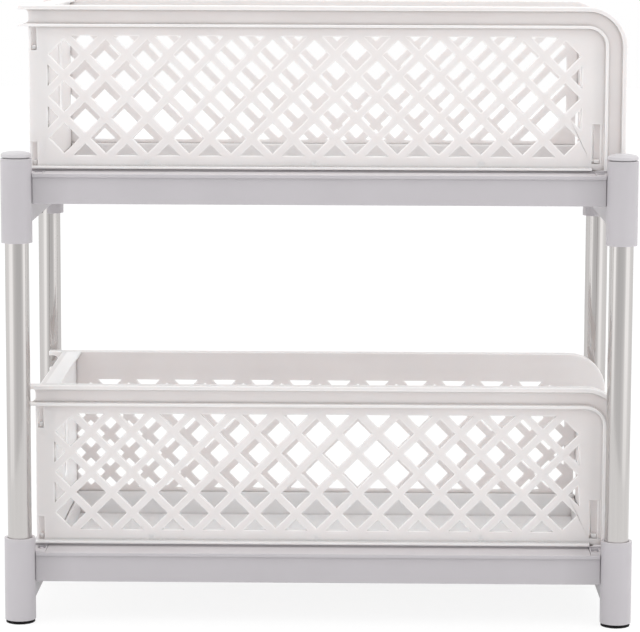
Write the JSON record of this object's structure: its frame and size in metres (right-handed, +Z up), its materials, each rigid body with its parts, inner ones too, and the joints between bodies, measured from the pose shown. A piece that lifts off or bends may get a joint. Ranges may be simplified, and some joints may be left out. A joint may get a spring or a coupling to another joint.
{
  "type": "tiered spice rack",
  "caption": "Tiered rack with chrome posts, plastic tier frames and pull-out lattice baskets for spices and other small things.",
  "frame": {"origin": "on the floor, midway between the four feet", "axes": "+X along the rack, away from the pull end; +Y across it, from the near rail to the far rail; +Z up"},
  "size_m": [0.3998, 0.2118, 0.3921],
  "materials": {
    "basket_plastic": "semi-gloss warm white, slightly translucent",
    "cap_plastic": "semi-gloss light grey",
    "foot_rubber": "matt black",
    "frame_plastic": "satin pale grey",
    "post_chrome": "polished"
  },
  "bodies": {
    "frame": {"cap_far_left": "cap_plastic", "cap_far_right": "cap_plastic", "cap_near_left": "cap_plastic", "cap_near_right": "cap_plastic", "foot_far_left": "foot_rubber", "foot_far_right": "foot_rubber", "foot_near_left": "foot_rubber", "foot_near_right": "foot_rubber", "lower_end_frame_left": "frame_plastic", "lower_end_frame_right": "frame_plastic", "lower_rail_far": "frame_plastic", "lower_rail_near": "frame_plastic", "tube_far_left": "post_chrome", "tube_far_right": "post_chrome", "tube_near_left": "post_chrome", "tube_near_right": "post_chrome", "upper_end_frame_left": "frame_plastic", "upper_end_frame_right": "frame_plastic", "upper_rail_far": "frame_plastic", "upper_rail_near": "frame_plastic"},
    "lower_basket": {"lower_basket_back_panel": "basket_plastic", "lower_basket_floor": "basket_plastic", "lower_basket_pull_panel": "basket_plastic", "lower_basket_side_far": "basket_plastic", "lower_basket_side_near": "basket_plastic"},
    "upper_basket": {"upper_basket_back_panel": "basket_plastic", "upper_basket_floor": "basket_plastic", "upper_basket_pull_panel": "basket_plastic", "upper_basket_side_far": "basket_plastic", "upper_basket_side_near": "basket_plastic"}
  },
  "joints": [
    {"name": "lower_basket_slide", "type": "slide", "parent": "frame", "child": "lower_basket", "axis": [-1, 0, 0], "range_m": [0, 0.168]},
    {"name": "upper_basket_slide", "type": "slide", "parent": "frame", "child": "upper_basket", "axis": [-1, 0, 0], "range_m": [0, 0.168]}
  ]
}
